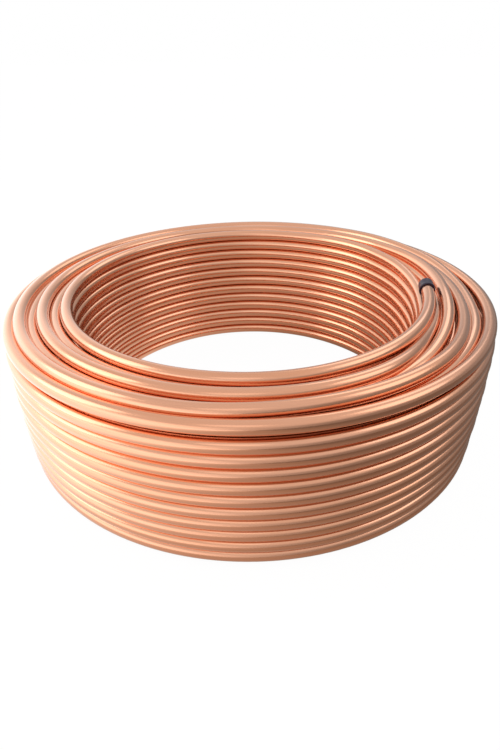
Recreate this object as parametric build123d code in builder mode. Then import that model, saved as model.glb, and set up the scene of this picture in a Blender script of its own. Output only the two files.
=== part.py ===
"""Copper tube coil: soft copper tube wound level in layers, its inner end free and closed by a cap.

Millimetres, +Z up. The coil lies on its end face, its axis is Z and its lowest turns touch Z = 0.
The winding is one turned solid with an open bore; every turn that shows has its own rounded ridge.
"""
import os
from math import cos, radians, sin

from build123d import *

# Tube
tube_diameter = 12.7
tube_wall = 0.8

# Winding: tall layers hold turn_count turns, the short layers nested between them hold one less
bore_diameter = 370.0
layer_count = 6
turn_count = 12
winding_gap = 0.25
nest_angle = 60.0

# Last turn of the innermost layer, angles counted from +X towards +Y
last_turn_start_angle = 45.0
last_turn_end_angle = 270.0
climb_angle = 50.0

# Free end: leaves the last turn, lifts and runs a little inside it, then ends in a straight tip
tip_start_angle = 348.0
free_end_lift = 5.0
free_end_inset = 5.0
tip_length = 22.0

# End cap: a soft cup pushed over the tip
cap_depth = 14.0
cap_wall = 1.15
cap_end_thickness = 2.0
cap_clearance = 0.1
cap_edge_radius = 1.4

tube_radius = tube_diameter / 2
pitch = tube_diameter + winding_gap
layer_step = pitch * sin(radians(nest_angle))
first_layer_radius = bore_diameter / 2 + tube_radius


def layer_radius(layer):
    """Radius from the coil's axis to the middle of the tube in a layer."""
    return first_layer_radius + layer * layer_step


def is_tall(layer):
    """Every second layer, from the innermost on, stands on the floor and holds the full count."""
    return layer % 2 == 0


def turn_height(layer, turn):
    """Height of the middle of the tube; short layers lie half a turn higher, in the hollows."""
    lift = 0 if is_tall(layer) else pitch / 2
    return tube_radius + lift + turn * pitch


def top_turn(layer):
    """Number of a layer's highest turn."""
    return turn_count - 1 if is_tall(layer) else turn_count - 2


def winding_point(layer, turn):
    """Middle of the tube in the winding's half section: radius and height."""
    return (layer_radius(layer), turn_height(layer, turn))


def ring_point(angle, radius, height):
    """Point at an angle round the coil's axis."""
    return Vector(radius * cos(radians(angle)), radius * sin(radians(angle)), height)


def ring_direction(angle):
    """Direction of winding, counter-clockwise seen from above."""
    return Vector(-sin(radians(angle)), cos(radians(angle)), 0)


def section_plane(angle):
    """Upright plane through the coil's axis, its x pointing outwards at an angle and its y up."""
    return Plane((0, 0, 0), x_dir=ring_point(angle, 1, 0), z_dir=-ring_direction(angle))


# Turns that show, in order round the section: up the bore, over the top, down the outside, back below
outer_layer = layer_count - 1
last_turn = top_turn(0)
bore_turns = [(0, turn) for turn in range(last_turn)]
top_turns = [(layer, top_turn(layer)) for layer in range(1, outer_layer)]
outside_turns = [(outer_layer, turn) for turn in range(top_turn(outer_layer), -1, -1)]
bottom_turns = [(layer, 0) for layer in range(outer_layer - 1, 0, -1)]
shown_turns = [winding_point(*place) for place in bore_turns + top_turns + outside_turns + bottom_turns]

last_turn_point = winding_point(0, last_turn)
last_turn_seat = [last_turn_point, winding_point(0, last_turn - 1), winding_point(1, top_turn(1))]
last_turn_radius, last_turn_height = last_turn_point

climb_top = ring_point(last_turn_start_angle, last_turn_radius, last_turn_height)
climb_foot = ring_point(
    last_turn_start_angle - climb_angle, layer_radius(1), turn_height(0, last_turn - 2)
)
free_end_root = ring_point(last_turn_end_angle, last_turn_radius, last_turn_height)
tip_start = ring_point(
    tip_start_angle, last_turn_radius - free_end_inset, last_turn_height + free_end_lift
)

with BuildPart() as copper_tube:
    # Wound body: the turns that show stand out of a filled section
    with BuildSketch(section_plane(0)):
        with BuildLine():
            Polyline(*shown_turns, close=True)
        make_face()
        with Locations(*shown_turns):
            Circle(tube_radius)
    revolve(axis=Axis.Z)

    # Last turn, seated on the turn below it and on the next layer
    with BuildSketch(section_plane(last_turn_start_angle)):
        with BuildLine():
            Polyline(*last_turn_seat, close=True)
        make_face()
        with Locations(last_turn_point):
            Circle(tube_radius)
    revolve(axis=Axis.Z, revolution_arc=last_turn_end_angle - last_turn_start_angle)

    # Climb from the turn below into the last turn
    with BuildLine():
        TangentArc(climb_top, climb_foot, tangent=-ring_direction(last_turn_start_angle))
    with BuildSketch(Plane(climb_top, z_dir=-ring_direction(last_turn_start_angle))):
        Circle(tube_radius)
    sweep()

    # Free end with its open bore
    with BuildLine() as free_end:
        bend = TangentArc(free_end_root, tip_start, tangent=ring_direction(last_turn_end_angle))
        Line(bend @ 1, bend @ 1 + (bend % 1) * tip_length)
    with BuildSketch(Plane(free_end_root, z_dir=ring_direction(last_turn_end_angle))):
        Circle(tube_radius)
        Circle(tube_radius - tube_wall, mode=Mode.SUBTRACT)
    sweep()
copper_tube.part.label = "copper_tube"

tip_axis = Axis(free_end.line @ 1, free_end.line % 1)
tip_plane = Plane(tip_axis.position, z_dir=tip_axis.direction)
cap_bore_radius = tube_radius + cap_clearance
with BuildPart() as end_cap:
    with BuildSketch(tip_plane.offset(-cap_depth)):
        Circle(cap_bore_radius + cap_wall)
    extrude(amount=cap_depth + cap_end_thickness)
    fillet(end_cap.edges().sort_by(tip_axis)[-1], cap_edge_radius)
    with BuildSketch(tip_plane):
        Circle(cap_bore_radius)
    extrude(amount=-cap_depth, mode=Mode.SUBTRACT)
end_cap.part.label = "end_cap"

os.makedirs("parts", exist_ok=True)
export_step(copper_tube.part, "parts/copper_tube.step")
export_step(end_cap.part, "parts/end_cap.step")
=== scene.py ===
import math

import bpy
import numpy as np
from mathutils import Matrix, Vector


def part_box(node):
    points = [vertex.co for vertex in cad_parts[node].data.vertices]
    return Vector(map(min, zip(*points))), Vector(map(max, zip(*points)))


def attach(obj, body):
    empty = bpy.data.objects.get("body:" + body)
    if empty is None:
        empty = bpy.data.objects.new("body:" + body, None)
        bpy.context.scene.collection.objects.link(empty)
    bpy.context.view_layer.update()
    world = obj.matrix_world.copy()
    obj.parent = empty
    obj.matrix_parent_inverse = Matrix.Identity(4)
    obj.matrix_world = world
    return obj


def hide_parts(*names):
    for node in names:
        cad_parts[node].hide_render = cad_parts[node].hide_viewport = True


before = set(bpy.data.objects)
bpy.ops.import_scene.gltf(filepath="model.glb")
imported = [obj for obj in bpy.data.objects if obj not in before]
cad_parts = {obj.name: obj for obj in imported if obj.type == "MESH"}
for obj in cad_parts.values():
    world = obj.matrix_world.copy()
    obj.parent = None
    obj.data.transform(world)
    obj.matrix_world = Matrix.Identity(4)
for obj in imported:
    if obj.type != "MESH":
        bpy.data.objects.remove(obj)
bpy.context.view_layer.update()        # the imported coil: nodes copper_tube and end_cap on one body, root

bl_info = {
    "name": "Copper tube coil",
    "version": (1, 0, 0),
    "blender": (4, 5, 0),
    "location": "View3D > Sidebar > Copper coil",
    "description": "A coil of soft copper tube with a capped inner end, lying on a white floor",
    "category": "Add Mesh",
}

TUBE_LOW, TUBE_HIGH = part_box("copper_tube")
BODY = "root"
MILLIMETRE = 0.001
WHITE = (1, 1, 1, 1)

# Places along the tube are written as angle, layer and turn: degrees from +X towards +Y, layers
# counted from the bore and turns from the floor, with parts of a layer or turn where it passes over
# from one to the next. Every run goes clockwise seen from above; a place belongs to a round of it.

# A turn of the bore's layer as it bulges into the bore and sinks to the turn below
BORE_SINKING = (
    (40, 0.0, 0.0), (20, -0.21, -0.20), (5, -0.50, -0.49), (-10, -0.73, -0.74),
    (-25, -0.55, -0.89), (-40, -0.21, -0.99), (-55, 0.0, -1.0),
)

# The end of the bore's layer on the floor, tucked away under the second layer
BORE_TAIL = ((30, 0.0, 0.0), (0, 0.7, 0.2))

# The second layer's last turn, over to the third layer's first, and down into the third layer
INNER_TOP_RUN = (
    (0, ((-60, 1.0, 9.51),)),
    (1, ((35, 1.0, 9.51), (10, 0.49, 9.46), (-10, 0.26, 9.31), (-35, 0.37, 9.41),
         (-65, 0.84, 10.11), (-95, 1.0, 10.51))),
    (2, ((40, 1.0, 10.51), (22, 0.95, 10.45), (5, 0.80, 10.38), (-10, 0.62, 10.40),
         (-17, 0.45, 10.46), (-27, 0.37, 10.55), (-36, 0.47, 10.60), (-47, 1.07, 10.81),
         (-60, 1.70, 10.99), (-75, 1.93, 11.01), (-100, 2.0, 11.01))),
    (3, ((40, 2.0, 11.01), (20, 1.55, 11.22), (5, 1.15, 11.30), (-10, 1.00, 11.28),
         (-23, 1.30, 11.02), (-35, 1.64, 10.72), (-47, 2.05, 10.48), (-60, 2.11, 10.11),
         (-80, 2.0, 10.01))),
    (4, ((45, 2.0, 10.01),)),
)

# The fourth layer's last turn, over to the fifth layer's first, and down into the fifth layer
OUTER_TOP_RUN = (
    (0, ((-60, 3.0, 9.51),)),
    (1, ((35, 3.0, 9.51), (10, 2.34, 9.71), (-10, 1.82, 10.16), (-25, 2.05, 10.11),
         (-40, 2.51, 9.96), (-60, 2.68, 10.16), (-80, 2.80, 10.31), (-105, 3.0, 10.51))),
    (2, ((40, 3.0, 10.51), (20, 2.68, 10.61), (5, 2.24, 10.81), (-10, 2.22, 10.89),
         (-23, 2.57, 10.91), (-35, 3.03, 10.96), (-45, 3.32, 11.01), (-60, 3.43, 11.01),
         (-80, 3.53, 11.01), (-100, 3.84, 11.01))),
    (3, ((45, 3.84, 11.01), (20, 3.61, 10.86), (5, 3.26, 10.71), (-10, 3.26, 10.61),
         (-23, 3.61, 10.51), (-35, 3.70, 10.26), (-50, 3.78, 10.11), (-65, 3.84, 10.01),
         (-85, 4.0, 10.01))),
    (4, ((45, 4.0, 10.01),)),
)

# The outer layer's first stretch, as it comes out from under the layer inside it
WALL_START = ((140, 4.1, 0.05), (110, 4.4, 0.12), (90, 4.7, 0.25))

# Angles at the back between which each turn of the outer layer rises, and where its last turn ends
WALL_RISE_FROM, WALL_RISE_TO, WALL_END = 125, 55, 131

# Turn at which the outer layer's lowest level stretch lies
WALL_FOOT = 0.36

# Unevenness along a run: share, waves in a turn and phase in radians
WAVES = ((0.5, 0.618, 0.0), (0.3, 1.733, 1.9), (0.2, 3.271, 4.1))

# Where the unevenness of each run begins, in radians, so that no two runs are alike
BORE_PHASE, INNER_TOP_PHASE, OUTER_TOP_PHASE, WALL_PHASE = 0.3, 1.7, 3.1, 4.4

# Fineness of the meshes: sides of the tube, and rings of vertices along it
SHOWN_SIDES, HIDDEN_SIDES, CAP_SIDES = 24, 14, 64
TURN_STEPS, HIDDEN_TURN_STEPS = 176, 128
BEND_STEPS, TIP_STEPS, HOLLOW_STEPS = 40, 8, 4
ROUNDING_STEPS = 9
SHARP_ANGLE = math.radians(40)

# What the metal mirrors round the horizon, from the side away from the light to the lit side
HORIZON_LEVELS = (
    (0.0, 0.19), (0.2, 0.18), (0.38, 0.27), (0.5, 0.38),
    (0.62, 0.6), (0.75, 0.8), (0.87, 0.92), (1.0, 1.0),
)

# Soft round lamps aimed at the coil: name, place and diameter in metres, power in watts
LAMPS = (
    ("lamp_left", (-1.4, -0.1, 1.1), 1.1, 4.2),
    ("lamp_right", (1.2, -0.25, 1.2), 1.0, 2.0),
    ("lamp_back", (0.7, 1.2, 1.3), 0.9, 1.5),
    ("lamp_front", (-0.15, -1.0, 1.2), 0.6, 0.3),
)


def hex_to_linear(text):
    """An sRGB hex colour as linear red, green and blue."""
    values = [int(text[start:start + 2], 16) / 255 for start in (1, 3, 5)]
    return [v / 12.92 if v <= 0.04045 else ((v + 0.055) / 1.055) ** 2.4 for v in values]


def length(name, description, default):
    """A length property, in metres."""
    return bpy.props.FloatProperty(
        name=name, description=description, default=default, precision=5, unit="LENGTH"
    )


def angle(name, description, degrees):
    """An angle property; its default is given in degrees."""
    return bpy.props.FloatProperty(
        name=name, description=description, default=math.radians(degrees), subtype="ANGLE"
    )


def colour(name, description, text):
    """A colour property; its default is an sRGB hex value."""
    return bpy.props.FloatVectorProperty(
        name=name, description=description, default=hex_to_linear(text), subtype="COLOR",
        size=3, min=0, max=1,
    )


def factor(name, description, default):
    """A plain number property."""
    return bpy.props.FloatProperty(name=name, description=description, default=default, precision=4)


class CoilWinding(bpy.types.PropertyGroup):
    """Sizes of the tube and of its winding"""

    tube_diameter: length("Tube diameter", "Outside diameter of the tube", 0.0127)
    tube_wall: length("Tube wall", "Wall thickness of the tube", 0.0008)
    winding_gap: length("Winding gap", "Room between neighbouring turns", 0.00025)
    layer_step: length("Layer step", "Distance from one layer to the next", 0.011215)
    outside_diameter: length("Outside diameter", "Over the outer layer", TUBE_HIGH[0] - TUBE_LOW[0])
    layer_count: bpy.props.IntProperty(name="Layers", description="Layers of turns", default=6)
    turn_count: bpy.props.IntProperty(name="Turns", description="Turns in a tall layer", default=12)
    bulge_share: factor("Bulge share", "Part of the bore's bulge that hidden turns keep", 0.9)
    wall_pitch: length("Outside pitch", "Rise from turn to turn on the outside", 0.01298)
    wall_inset: length("Outside inset", "How far the ends of the outside lie inside it", 0.0007)
    wall_belly: length("Belly", "Bulge of the outside at half its height", 0.0015)
    last_turn_inset: length("Last turn inset", "How far the outside's last turn lies in", 0.0022)
    last_turn_lift: length("Last turn lift", "Height of the last turn over its plain place", 0.0008)
    waviness: length("Waviness", "Unevenness of the turns as they lie", 0.0005)


class CoilEnd(bpy.types.PropertyGroup):
    """The free inner end and its cap"""

    root_angle: angle("Root", "Where the free end leaves the last turn", 270)
    tip_angle: angle("Tip", "Where the straight tip begins", 348)
    lift: length("Lift", "Rise of the free end over the last turn", 0.005)
    inset: length("Inset", "Shift of the free end into the bore", 0.005)
    tip_length: length("Tip length", "Straight length at the end of the tube", 0.022)
    cap_depth: length("Cap depth", "Length of tube inside the cap", 0.014)
    cap_wall: length("Cap wall", "Wall thickness of the cap", 0.00115)
    cap_end: length("Cap end", "Thickness of the cap's closed end", 0.002)
    cap_clearance: length("Cap clearance", "Room between the cap and the tube", 0.0001)
    cap_bead: length("Cap bead", "How far the bead at the mouth stands out", 0.0004)
    cap_edge: length("Cap edge", "Rounding of the closed end", 0.0016)


class CoilFinish(bpy.types.PropertyGroup):
    """Colours and gloss of the copper and the cap"""

    copper: colour("Copper", "Bright annealed copper", "#F7B48F")
    copper_warm: colour("Warm copper", "Copper where it has begun to tarnish", "#F3A87C")
    copper_dull: colour("Dull copper", "Draw lines and handling marks", "#DE9A73")
    copper_roughness: factor("Copper roughness", "Roughness of the bright tube", 0.2)
    oil_film: factor("Oil film", "Part of the tube under a thin film of drawing oil", 1.0)
    oil_roughness: factor("Oil roughness", "Roughness of the film", 0.12)
    cap: colour("Cap", "Dark moulded plastic", "#231733")
    cap_worn: colour("Worn cap", "Paler plastic where handling has scuffed it", "#54466A")


class CoilStage(bpy.types.PropertyGroup):
    """Camera, floor and light"""

    distance: length("Distance", "From the camera to the floor under the coil's middle", 0.63985)
    elevation: angle("Elevation", "Of the camera over the floor", 34.183)
    roll: angle("Roll", "Tilt of the camera about its own axis", 0.975)
    focal_pixels: factor("Focal length", "In pixels of a 500 by 750 image", 511.5)
    centre_x: factor("Centre X", "Image column of the point aimed at", 250.99)
    centre_y: factor("Centre Y", "Image row of the point aimed at", 400.02)
    floor_reach: length("Floor reach", "From the middle of the floor to its edges", 30.0)
    floor: colour("Floor", "Plain white floor", "#F7F7F7")
    # Painted bounced light: the copper-coloured glow of the floor by the coil, seen only in the metal
    floor_copper_bounce_light: colour("Warm floor", "Floor in the copper's own light", "#FFE6D0")
    floor_glow: factor("Floor glow", "White of the floor as the camera sees it", 1.03)
    floor_glow_share: factor("Floor glow share", "The rest is paint, which keeps the shadow", 0.94)
    floor_mirrored: factor("Mirrored floor", "Level of the floor under the coil in the metal", 0.45)
    floor_mirrored_share: factor("Mirrored floor share", "The rest is paint", 0.9)
    horizon: factor("Horizon", "Level of the lit side of the room in the metal", 1.65)
    ceiling: factor("Ceiling", "Level of the ceiling in the metal", 0.74)
    room: factor("Room", "Level of the plain light from all round", 0.6)


GROUPS = {
    "coil_winding": CoilWinding,
    "coil_end": CoilEnd,
    "coil_finish": CoilFinish,
    "coil_stage": CoilStage,
}


# Path of the tube


class Lay:
    """Places of the turns, worked out from the winding's sizes."""

    # Degrees to each side over which bends are eased, and over which a run's unevenness sets in
    easing = 9
    fade = 40

    # The unevenness in height: its share, its rate and its phase against the one in radius
    height_wave = (0.3, 1.37, 2)

    def __init__(self, winding):
        self.winding = winding
        self.radius = winding.tube_diameter / 2
        self.pitch = winding.tube_diameter + winding.winding_gap
        self.outer = winding.layer_count - 1
        self.last = winding.turn_count - 1

    def layer_radius(self, layer):
        """Radius to the middle of the tube; layers are counted from the bore."""
        outer_radius = self.winding.outside_diameter / 2 - self.radius
        return outer_radius - (self.outer - layer) * self.winding.layer_step

    def turn_height(self, turn):
        """Height of the middle of the tube; the layers nested between others lie at half turns."""
        return self.radius + turn * self.pitch

    def bulge(self, angles, layer):
        """Shift of a layer's plain turns into the bore where the layers cross."""
        table = np.array(BORE_SINKING)[::-1]
        seen = (np.degrees(angles) + 180) % 360 - 180
        share = self.winding.bulge_share * (self.outer - layer) / self.outer
        return share * self.winding.layer_step * np.interp(seen, table[:, 0], table[:, 1])

    def waves(self, turned, phase):
        """Small smooth unevenness along a run of tube, different in every turn."""
        wave = np.zeros_like(turned)
        for share, rate, start in WAVES:
            wave += share * np.sin(rate * turned + start + phase)
        return wave * self.winding.waviness

    def points(self, angles, radii, heights):
        """Points in space from angles, radii and heights."""
        return np.stack([radii * np.cos(angles), radii * np.sin(angles), heights], axis=1)

    def round_places(self, number, table):
        """A round of angle, layer and turn as places: degrees turned clockwise, radius, height."""
        return [
            (360 * number - degrees, self.layer_radius(layer), self.turn_height(turn))
            for degrees, layer, turn in table
        ]

    def run(self, places, phase):
        """Middle line of a run through places; it never dips below the floor."""
        table = np.array(places)
        turned = np.arange(table[0, 0], table[-1, 0] + 0.5, 1.0)
        window = np.hanning(2 * self.easing + 3)[1:-1]
        window /= window.sum()
        eased = []
        for column in (1, 2):
            plain = np.interp(turned, table[:, 0], table[:, column])
            padded = np.pad(plain, self.easing, mode="edge")
            eased.append(np.convolve(padded, window, mode="valid"))
        count = int((turned[-1] - turned[0]) / 360 * TURN_STEPS)
        stops = np.linspace(turned[0], turned[-1], count)
        angles = -np.radians(stops)
        fade = np.clip((stops - stops[0]) / self.fade, 0, 1)
        share, rate, shift = self.height_wave
        radii = np.interp(stops, turned, eased[0]) + fade * self.waves(angles, phase)
        heights = np.interp(stops, turned, eased[1])
        heights += share * fade * self.waves(rate * angles, phase + shift)
        return self.points(angles, radii, np.maximum(heights, self.radius))

    def top_run(self, rounds, phase):
        """Middle line of a run written as rounds of angle, layer and turn."""
        places = []
        for number, table in rounds:
            places += self.round_places(number, table)
        return self.run(places, phase)

    def ring(self, layer, turn):
        """Middle line of a level turn inside the winding."""
        angles = np.linspace(0, -2 * math.pi, HIDDEN_TURN_STEPS, endpoint=False)
        radii = self.layer_radius(layer) + self.bulge(angles, layer)
        return self.points(angles, radii, np.full(HIDDEN_TURN_STEPS, self.turn_height(turn)))

    def hidden_turns(self):
        """Middle lines of the turns inside the winding, below the two top runs."""
        paths = []
        for layer in range(1, self.outer):
            nested = layer % 2 == 1
            lift = 0.5 if nested else 0
            for turn in range(self.last - 2 if nested else self.last - 1):
                paths.append(self.ring(layer, turn + lift))
        return paths


def bore_places(lay, root_degrees):
    """The bore's layer from the free end's root down to the floor, as places for a run."""
    start = -((root_degrees + 180) % 360 - 180)
    places = [(start, lay.layer_radius(0), lay.turn_height(lay.last))]
    for number in range(1, lay.last + 1):
        top = lay.last - number + 1
        sinking = [(degrees, layer, top + turn) for degrees, layer, turn in BORE_SINKING]
        places += lay.round_places(number, sinking)
    return places + lay.round_places(lay.last + 1, BORE_TAIL)


def wall_places(lay):
    """The outer layer from the floor up to the tube's end at the back, as places for a run."""
    winding = lay.winding
    plain_radius = lay.layer_radius(lay.outer)
    highest = lay.last - 1
    places = lay.round_places(1, WALL_START)
    for number in range(lay.last):
        if number < highest:
            share = 2 * number / (highest - 1) - 1
            belly = winding.wall_belly * (1 - share * share)
            radius = plain_radius - winding.wall_inset + belly
            height = lay.turn_height(WALL_FOOT) + number * winding.wall_pitch
            level_to = WALL_RISE_FROM
        else:
            radius = plain_radius - winding.last_turn_inset
            height = lay.turn_height(lay.last - 0.5) + winding.last_turn_lift
            level_to = WALL_END
        places.append((360 * (number + 1) - WALL_RISE_TO, radius, height))
        places.append((360 * (number + 2) - level_to, radius, height))
    return places


def free_end_path(lay, end):
    """Middle line of the free end, from its tip back to the last turn, and its tip's direction."""
    radius, height = lay.layer_radius(0), lay.turn_height(lay.last)
    cos_root, sin_root = math.cos(end.root_angle), math.sin(end.root_angle)
    root = np.array([radius * cos_root, radius * sin_root, height])
    ahead = np.array([-sin_root, cos_root, 0])
    tip_radius = radius - end.inset
    cos_tip, sin_tip = math.cos(end.tip_angle), math.sin(end.tip_angle)
    tip = np.array([tip_radius * cos_tip, tip_radius * sin_tip, height + end.lift])
    # An arc that leaves the last turn straight ahead and ends where the straight tip begins
    chord = tip - root
    along = float(chord @ ahead)
    aside = chord - along * ahead
    side = float(np.linalg.norm(aside))
    inward = aside / side
    bend_radius = float(chord @ chord) / (2 * side)
    turn = 2 * math.atan2(side, along)
    bends = np.linspace(turn, 0, BEND_STEPS)[:, None]
    bend = root + bend_radius * (np.sin(bends) * ahead + (1 - np.cos(bends)) * inward)
    direction = math.cos(turn) * ahead + math.sin(turn) * inward
    straight = tip + np.linspace(end.tip_length, 0, TIP_STEPS)[:-1, None] * direction
    return np.concatenate([straight, bend]), direction


def cap_profile(lay, end):
    """Radii and heights of the cap's half section, from its floor's middle round to its end."""
    inner = lay.radius + end.cap_clearance
    outside = inner + end.cap_wall
    mouth, top = -end.cap_depth, end.cap_end
    bead, edge = end.cap_bead, end.cap_edge
    corner, crown = 0.3 * MILLIMETRE, 0.3 * MILLIMETRE
    rim, taper = 0.4 * MILLIMETRE, 0.1 * MILLIMETRE
    # Floor of the cup, with a broken corner
    profile = [(0.0, 0.0), (inner / 2, 0.0), (inner - corner, 0.0), (inner, -corner)]
    # Rounded rim of the mouth
    reach = (end.cap_wall + bead) / 2
    for turn in np.linspace(0, math.pi, ROUNDING_STEPS):
        profile.append((
            inner + reach * (1 - math.cos(turn)), mouth + rim * (1 - math.sin(turn)),
        ))
    # Bead behind the rim, running out into the wall
    bead_end, bead_slope, bead_foot = 1.8 * MILLIMETRE, 2.3 * MILLIMETRE, 2.7 * MILLIMETRE
    profile += [
        (outside + bead, mouth + bead_end), (outside + bead / 2, mouth + bead_slope),
        (outside, mouth + bead_foot), (outside - taper / 2, mouth / 2),
    ]
    # Rounded edge of the closed end
    for turn in np.linspace(0, math.pi / 2, ROUNDING_STEPS):
        profile.append((
            outside - taper - edge * (1 - math.cos(turn)),
            top - crown - edge * (1 - math.sin(turn)),
        ))
    # Slightly crowned end, with the small dimple of the mould's gate in its middle
    dimple, dimple_floor, crown_start = 1.6 * MILLIMETRE, 1.3 * MILLIMETRE, 0.55
    profile += [
        (outside * crown_start, top - taper), (dimple, top),
        (dimple_floor, top - crown), (0.0, top - crown),
    ]
    return profile


# Meshes


def ring_frames(path, closed):
    """Directions outwards and across at each point of a path round the coil's axis."""
    if closed:
        along = np.roll(path, -1, axis=0) - np.roll(path, 1, axis=0)
    else:
        along = np.gradient(path, axis=0)
    along /= np.linalg.norm(along, axis=1)[:, None]
    outward = path * [1, 1, 0]
    outward -= (outward * along).sum(axis=1)[:, None] * along
    outward /= np.linalg.norm(outward, axis=1)[:, None]
    return outward, np.cross(along, outward)


def tube_rings(path, outside, inside, sides, closed):
    """Vertices and places on the tube by rings; an inside radius hollows an open run's ends."""
    outward, across = ring_frames(path, closed)
    gone = np.concatenate([[0], np.cumsum(np.linalg.norm(np.diff(path, axis=0), axis=1))])
    order = list(range(len(path)))
    radii = [outside] * len(path)
    if inside:
        final = len(path) - 1
        order = [HOLLOW_STEPS, 0] + order + [final, final - HOLLOW_STEPS]
        radii = [inside] * 2 + radii + [inside] * 2
    turn = np.linspace(0, 2 * math.pi, sides, endpoint=False)
    wheel = np.cos(turn)[None, :, None] * outward[order][:, None]
    wheel = wheel + np.sin(turn)[None, :, None] * across[order][:, None]
    vertices = path[order][:, None] + np.array(radii)[:, None, None] * wheel
    places = np.empty_like(vertices)
    places[..., 0] = gone[order][:, None]
    places[..., 1] = outside * np.cos(turn)[None]
    places[..., 2] = outside * np.sin(turn)[None]
    return vertices.reshape(-1, 3), places.reshape(-1, 3)


def tube_faces(rings, sides, closed, first):
    """Quads between rings, with a flat end at each end of an open run."""
    ring = np.arange(rings if closed else rings - 1)
    side = np.arange(sides)
    here = first + ring[:, None] * sides
    there = first + ((ring + 1) % rings)[:, None] * sides
    onward = ((side + 1) % sides)[None]
    quads = np.stack([here + side, here + onward, there + onward, there + side], axis=-1)
    faces = quads.reshape(-1, 4).tolist()
    if not closed:
        faces.append((first + side[::-1]).tolist())
        faces.append((first + (rings - 1) * sides + side).tolist())
    return faces


def turned_mesh(profile, sides, place):
    """Vertices and faces of a profile of radii and heights, turned about an axis and placed."""
    vertices, faces, rings = [], [], []
    for radius, height in profile:
        count = 1 if radius == 0 else sides
        rings.append((len(vertices), count))
        for side in range(count):
            turn = 2 * math.pi * side / sides
            corner = Vector((radius * math.cos(turn), radius * math.sin(turn), height))
            vertices.append(list(place @ corner))
    for (here, here_count), (there, there_count) in zip(rings, rings[1:]):
        for side in range(sides):
            onward = (side + 1) % sides
            corners = [here + side % here_count, here + onward % here_count]
            corners += [there + onward % there_count, there + side % there_count]
            faces.append(list(dict.fromkeys(corners)))
    return vertices, faces


def new_piece(name, vertices, faces, material):
    """A smooth object with sharp edges only where faces meet at a corner."""
    mesh = bpy.data.meshes.new(name)
    mesh.from_pydata(vertices, [], faces)
    mesh.polygons.foreach_set("use_smooth", [True] * len(faces))
    mesh.set_sharp_from_angle(angle=SHARP_ANGLE)
    mesh.materials.append(material)
    piece = bpy.data.objects.new(name, mesh)
    bpy.context.scene.collection.objects.link(piece)
    return piece


def tube_object(name, paths, lay, sides, material, closed=False, hollow=False):
    """One object from the middle lines of runs of tube."""
    inside = lay.radius - lay.winding.tube_wall if hollow else None
    vertices, places, faces = [], [], []
    first = 0
    for path in paths:
        ring_vertices, ring_places = tube_rings(path, lay.radius, inside, sides, closed)
        vertices.append(ring_vertices)
        places.append(ring_places)
        faces += tube_faces(len(ring_vertices) // sides, sides, closed, first)
        first += len(ring_vertices)
    piece = new_piece(name, np.concatenate(vertices).tolist(), faces, material)
    place = piece.data.attributes.new("tube_place", "FLOAT_VECTOR", "POINT")
    place.data.foreach_set("vector", np.concatenate(places).ravel())
    return piece


# Materials


def add_node(tree, kind, settings=None, inputs=None):
    """Adds a node, sets its properties, and gives its inputs values or links from other sockets."""
    node = tree.nodes.new(kind)
    for name, value in (settings or {}).items():
        setattr(node, name, value)
    for name, value in (inputs or {}).items():
        socket = node.inputs[name]
        if isinstance(value, bpy.types.NodeSocket):
            tree.links.new(value, socket)
        else:
            socket.default_value = value
    return node


def calculate(tree, operation, first, second):
    """The result of a sum with two values."""
    inputs = {0: first, 1: second}
    return add_node(tree, "ShaderNodeMath", {"operation": operation}, inputs).outputs[0]


def remap(tree, value, given, wanted, interpolation="LINEAR"):
    """A value taken from one range to another and held at its ends."""
    return add_node(tree, "ShaderNodeMapRange", {"interpolation_type": interpolation}, {
        "Value": value, "From Min": given[0], "From Max": given[1],
        "To Min": wanted[0], "To Max": wanted[1],
    }).outputs[0]


def mix_colours(tree, share, first, second):
    """A colour between two others."""
    inputs = {0: share, 6: first, 7: second}
    return add_node(tree, "ShaderNodeMix", {"data_type": "RGBA"}, inputs).outputs[2]


def mix_values(tree, share, first, second):
    """A value between two others."""
    inputs = {0: share, 2: first, 3: second}
    return add_node(tree, "ShaderNodeMix", {"data_type": "FLOAT"}, inputs).outputs[0]


def mix_shaders(tree, share, first, second):
    """A surface between two others."""
    return add_node(tree, "ShaderNodeMixShader", {}, {0: share, 1: first, 2: second}).outputs[0]


def tube_noise(tree, long, wide, detail, roughness):
    """Noise that runs along the tube, from its length along the tube and its width round it."""
    place = add_node(tree, "ShaderNodeAttribute", {"attribute_name": "tube_place"})
    stretched = add_node(tree, "ShaderNodeVectorMath", {"operation": "MULTIPLY"}, {
        0: place.outputs["Vector"], 1: (1 / long, 1 / wide, 1 / wide)
    }).outputs[0]
    return add_node(tree, "ShaderNodeTexNoise", {}, {
        "Vector": stretched, "Scale": 1.0, "Detail": detail, "Roughness": roughness
    }).outputs[0]


def new_material(name):
    """An empty node material and its tree."""
    material = bpy.data.materials.new(name)
    material.use_nodes = True
    material.node_tree.nodes.clear()
    return material, material.node_tree


def opaque(values):
    """A colour with full alpha, as colour sockets take it."""
    return (*values[:3], 1.0)


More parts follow.
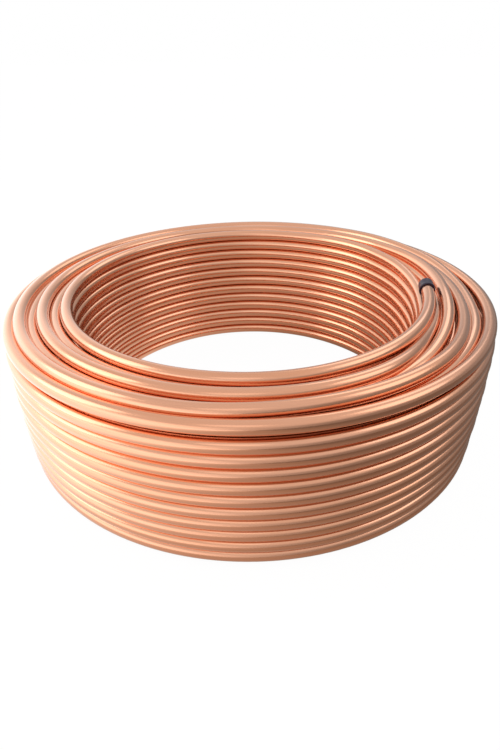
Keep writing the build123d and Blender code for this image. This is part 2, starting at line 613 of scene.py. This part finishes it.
def annealed_copper(finish):
    """Bright annealed copper, drawn: pale pink where it mirrors the room, deep orange between
    turns, with faint lines along the tube, warm bands of tarnish and the gloss of drawing oil."""
    material, tree = new_material("copper_bright_annealed_drawn")
    # Draw lines, about 2 mm apart round the tube and 300 mm long: real ones are finer than a pixel
    lines = tube_noise(tree, 300 * MILLIMETRE, 2 * MILLIMETRE, 1.0, 0.5)
    # Tarnish, in bands about 150 mm long and a third of the tube's girth wide
    bands = tube_noise(tree, 150 * MILLIMETRE, 11 * MILLIMETRE, 3.0, 0.55)
    warm = remap(tree, bands, (0.42, 0.72), (0.0, 0.6))
    dull = remap(tree, lines, (0.5, 0.78), (0.0, 0.3))
    tinted = mix_colours(tree, warm, opaque(finish.copper), opaque(finish.copper_warm))
    lined = mix_colours(tree, dull, tinted, opaque(finish.copper_dull))
    smoother, rougher = finish.copper_roughness - 0.04, finish.copper_roughness + 0.06
    roughness = remap(tree, lines, (0.25, 0.75), (smoother, rougher))
    # The coat is the oil: it lays a thin pale gloss over the metal's own colour
    surface = add_node(tree, "ShaderNodeBsdfPrincipled", {}, {
        "Base Color": lined, "Metallic": 1.0, "Roughness": roughness,
        "Coat Weight": finish.oil_film, "Coat Roughness": finish.oil_roughness,
    })
    add_node(tree, "ShaderNodeOutputMaterial", {}, {"Surface": surface.outputs[0]})
    return material


def moulded_plastic(finish):
    """Soft polyethylene, moulded: nearly black with a violet cast, a gloss and a fine mottle."""
    material, tree = new_material("polyethylene_moulded_dark")
    position = add_node(tree, "ShaderNodeTexCoord").outputs["Object"]
    # Mottle of about 1.5 mm, standing out by about 0.1 mm
    mottle_size, mottle_height = 1.5 * MILLIMETRE, 0.12 * MILLIMETRE
    mottle = add_node(tree, "ShaderNodeTexNoise", {}, {
        "Vector": position, "Scale": 1 / mottle_size, "Detail": 3.0, "Roughness": 0.6
    }).outputs[0]
    worn = remap(tree, mottle, (0.5, 0.8), (0.0, 0.7))
    tone = mix_colours(tree, worn, opaque(finish.cap), opaque(finish.cap_worn))
    roughness = remap(tree, mottle, (0.3, 0.7), (0.25, 0.45))
    relief = add_node(tree, "ShaderNodeBump", {}, {
        "Height": mottle, "Strength": 0.35, "Distance": mottle_height
    }).outputs[0]
    surface = add_node(tree, "ShaderNodeBsdfPrincipled", {}, {
        "Base Color": tone, "Roughness": roughness, "Normal": relief, "IOR": 1.51
    })
    add_node(tree, "ShaderNodeOutputMaterial", {}, {"Surface": surface.outputs[0]})
    return material


# Operators


def keep_piece(piece, node):
    """Ties a finished piece to the coil's body and hides the solid that it stands for."""
    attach(piece, BODY)
    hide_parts(node)


class COIL_OT_copper_tube(bpy.types.Operator):
    """Winds the copper tube: bore layer with the free end, top turns, outside and hidden turns"""

    bl_idname = "coil.copper_tube"
    bl_label = "Copper tube"

    def execute(self, context):
        scene = context.scene
        lay = Lay(scene.coil_winding)
        end = scene.coil_end
        copper = annealed_copper(scene.coil_finish)
        free = free_end_path(lay, end)[0]
        wound = lay.run(bore_places(lay, math.degrees(end.root_angle)), BORE_PHASE)
        bore = [np.concatenate([free, wound[1:]])]
        tops = [
            lay.top_run(INNER_TOP_RUN, INNER_TOP_PHASE),
            lay.top_run(OUTER_TOP_RUN, OUTER_TOP_PHASE),
        ]
        wall = [lay.run(wall_places(lay), WALL_PHASE)]
        hidden = lay.hidden_turns()
        pieces = [
            tube_object("copper_tube_bore_layer", bore, lay, SHOWN_SIDES, copper, hollow=True),
            tube_object("copper_tube_top_turns", tops, lay, SHOWN_SIDES, copper),
            tube_object("copper_tube_outer_layer", wall, lay, SHOWN_SIDES, copper, hollow=True),
            tube_object("copper_tube_inner_turns", hidden, lay, HIDDEN_SIDES, copper, closed=True),
        ]
        for piece in pieces:
            keep_piece(piece, "copper_tube")
        return {"FINISHED"}


class COIL_OT_end_cap(bpy.types.Operator):
    """Turns the plastic cap on the free end of the tube"""

    bl_idname = "coil.end_cap"
    bl_label = "End cap"

    def execute(self, context):
        scene = context.scene
        lay = Lay(scene.coil_winding)
        free, direction = free_end_path(lay, scene.coil_end)
        turned = Vector(direction).to_track_quat("Z", "Y").to_matrix().to_4x4()
        place = Matrix.Translation(Vector(free[0])) @ turned
        vertices, faces = turned_mesh(cap_profile(lay, scene.coil_end), CAP_SIDES, place)
        plastic = moulded_plastic(scene.coil_finish)
        piece = new_piece("end_cap_moulded", vertices, faces, plastic)
        keep_piece(piece, "end_cap")
        return {"FINISHED"}


class COIL_OT_stage(bpy.types.Operator):
    """Sets the white floor, the soft studio light and the camera"""

    bl_idname = "coil.stage"
    bl_label = "Stage"

    def execute(self, context):
        scene = context.scene
        stage = scene.coil_stage
        self.lay_floor(scene, stage)
        self.light_room(scene, stage)
        self.hang_lamps(scene)
        self.place_camera(scene, stage)
        scene.view_settings.view_transform = "Standard"
        return {"FINISHED"}

    def lay_floor(self, scene, stage):
        """A wide white floor that keeps the coil's shadow."""
        mesh = bpy.data.meshes.new("floor")
        reach = stage.floor_reach
        corners = [(-reach, -reach, 0), (reach, -reach, 0), (reach, reach, 0), (-reach, reach, 0)]
        mesh.from_pydata(corners, [], [(0, 1, 2, 3)])
        mesh.materials.append(self.floor_paint(stage))
        floor = bpy.data.objects.new("floor", mesh)
        scene.collection.objects.link(floor)

    def floor_paint(self, stage):
        """Matt white paint, pure white to the camera; in the metal it is brighter at the left."""
        material, tree = new_material("floor_white_matt")
        paint = add_node(tree, "ShaderNodeBsdfDiffuse", {}, {"Color": opaque(stage.floor)})
        # Makes up for the painted share, so that the open floor is as white as the backdrop
        glow = add_node(tree, "ShaderNodeEmission", {}, {
            "Color": WHITE, "Strength": stage.floor_glow
        }).outputs[0]
        place = add_node(tree, "ShaderNodeNewGeometry").outputs["Position"]
        across = self.towards_light(tree, place)
        # The mirrored light falls by half in 0.18 m, and stays between two levels
        fall_in_a_metre, dimmest, brightest = 49.0, 0.14, 1.5
        fall = calculate(tree, "POWER", fall_in_a_metre, across)
        level = calculate(tree, "MULTIPLY", fall, stage.floor_mirrored)
        level = add_node(tree, "ShaderNodeClamp", {}, {
            "Value": level, "Min": dimmest, "Max": brightest
        }).outputs[0]
        # Painted bounced light: on the side away from the light, the floor's glow by the coil is painted
        # in the copper's colour, for the copper's light thrown onto it
        warm_to, white_from = -0.1, 0.3
        lit = remap(tree, across, (warm_to, white_from), (0.0, 1.0))
        tint = mix_colours(tree, lit, opaque(stage.floor_copper_bounce_light), WHITE)
        mirrored = add_node(tree, "ShaderNodeEmission", {}, {
            "Color": tint, "Strength": level
        }).outputs[0]
        rays = add_node(tree, "ShaderNodeLightPath").outputs
        seen = calculate(tree, "MULTIPLY", rays["Is Camera Ray"], stage.floor_glow_share)
        glossy = calculate(tree, "MULTIPLY", rays["Is Glossy Ray"], stage.floor_mirrored_share)
        surface = mix_shaders(tree, seen, paint.outputs[0], glow)
        surface = mix_shaders(tree, glossy, surface, mirrored)
        add_node(tree, "ShaderNodeOutputMaterial", {}, {"Surface": surface})
        return material

    def towards_light(self, tree, vector):
        """How far a place or direction lies towards the light, which comes from the left."""
        return add_node(tree, "ShaderNodeVectorMath", {"operation": "DOT_PRODUCT"}, {
            0: vector, 1: (-1.0, 0.0, 0.0)
        }).outputs["Value"]

    def light_room(self, scene, stage):
        """White backdrop and plain light all round; the metal sees a room darker to the right."""
        world = bpy.data.worlds.new("studio")
        scene.world = world
        world.use_nodes = True
        tree = world.node_tree
        tree.nodes.clear()
        direction = add_node(tree, "ShaderNodeTexCoord").outputs["Generated"]
        across = self.towards_light(tree, direction)
        turned = remap(tree, across, (-1.0, 1.0), (0.0, 1.0))
        ramp = add_node(tree, "ShaderNodeValToRGB", {}, {0: turned})
        stops = ramp.color_ramp.elements
        for position, _ in HORIZON_LEVELS[1:-1]:
            stops.new(position)
        for stop, (position, value) in zip(stops, HORIZON_LEVELS):
            stop.position = position
            stop.color = (value, value, value, 1)
        horizon = calculate(tree, "MULTIPLY", ramp.outputs[0], stage.horizon)
        # Heights of a direction at which the ceiling begins and is full
        ceiling_from, ceiling_full = 0.3, 0.65
        upright = add_node(tree, "ShaderNodeSeparateXYZ", {}, {0: direction}).outputs["Z"]
        upward = remap(tree, upright, (ceiling_from, ceiling_full), (0.0, 1.0), "SMOOTHSTEP")
        mirrored = mix_values(tree, upward, horizon, stage.ceiling)
        rays = add_node(tree, "ShaderNodeLightPath").outputs
        plain = calculate(tree, "MAXIMUM", rays["Is Camera Ray"], rays["Is Diffuse Ray"])
        plain_level = mix_values(tree, rays["Is Camera Ray"], stage.room, 1.0)
        strength = mix_values(tree, plain, mirrored, plain_level)
        background = add_node(tree, "ShaderNodeBackground", {}, {
            "Color": WHITE, "Strength": strength
        })
        add_node(tree, "ShaderNodeOutputWorld", {}, {"Surface": background.outputs[0]})

    def hang_lamps(self, scene):
        """Soft round lamps aimed at the coil."""
        for name, where, size, power in LAMPS:
            data = bpy.data.lights.new(name, "AREA")
            data.shape = "DISK"
            data.size = size
            data.energy = power
            lamp = bpy.data.objects.new(name, data)
            lamp.location = where
            lamp.rotation_euler = (-Vector(where)).to_track_quat("-Z", "Y").to_euler()
            scene.collection.objects.link(lamp)

    def place_camera(self, scene, stage):
        """The photograph's viewpoint, for a 500 by 750 image."""
        width, height, sensor = 500, 750, 36.0
        data = bpy.data.cameras.new("camera")
        data.sensor_width = sensor
        data.lens = stage.focal_pixels * sensor / height
        data.shift_x = -(stage.centre_x - width / 2) / height
        data.shift_y = (stage.centre_y - height / 2) / height
        data.clip_start = 0.01
        camera = bpy.data.objects.new("camera", data)
        where = Vector((0, -math.cos(stage.elevation), math.sin(stage.elevation))) * stage.distance
        aim = (-where).to_track_quat("-Z", "Y").to_matrix().to_4x4()
        camera.matrix_world = Matrix.Translation(where) @ aim @ Matrix.Rotation(-stage.roll, 4, "Z")
        scene.collection.objects.link(camera)
        scene.camera = camera


OPERATORS = (COIL_OT_copper_tube, COIL_OT_end_cap, COIL_OT_stage)


class COIL_PT_sidebar(bpy.types.Panel):
    """Sizes, finishes and steps of the copper tube coil"""

    bl_idname = "COIL_PT_sidebar"
    bl_label = "Copper tube coil"
    bl_space_type = "VIEW_3D"
    bl_region_type = "UI"
    bl_category = "Copper coil"

    def draw(self, context):
        for name, group in GROUPS.items():
            box = self.layout.box()
            for field in group.__annotations__:
                box.prop(getattr(context.scene, name), field)
        for operator in OPERATORS:
            self.layout.operator(operator.bl_idname)


CLASSES = (*GROUPS.values(), *OPERATORS, COIL_PT_sidebar)


def register():
    """Registers the classes and hangs the settings on the scene."""
    for item in CLASSES:
        bpy.utils.register_class(item)
    for name, group in GROUPS.items():
        setattr(bpy.types.Scene, name, bpy.props.PointerProperty(type=group))


def unregister():
    """Takes away the settings and the classes."""
    for name in GROUPS:
        delattr(bpy.types.Scene, name)
    for item in reversed(CLASSES):
        bpy.utils.unregister_class(item)


def main():
    """Makes the coil and its stage."""
    register()
    bpy.ops.coil.copper_tube()
    bpy.ops.coil.end_cap()
    bpy.ops.coil.stage()


if __name__ == "__main__":
    main()
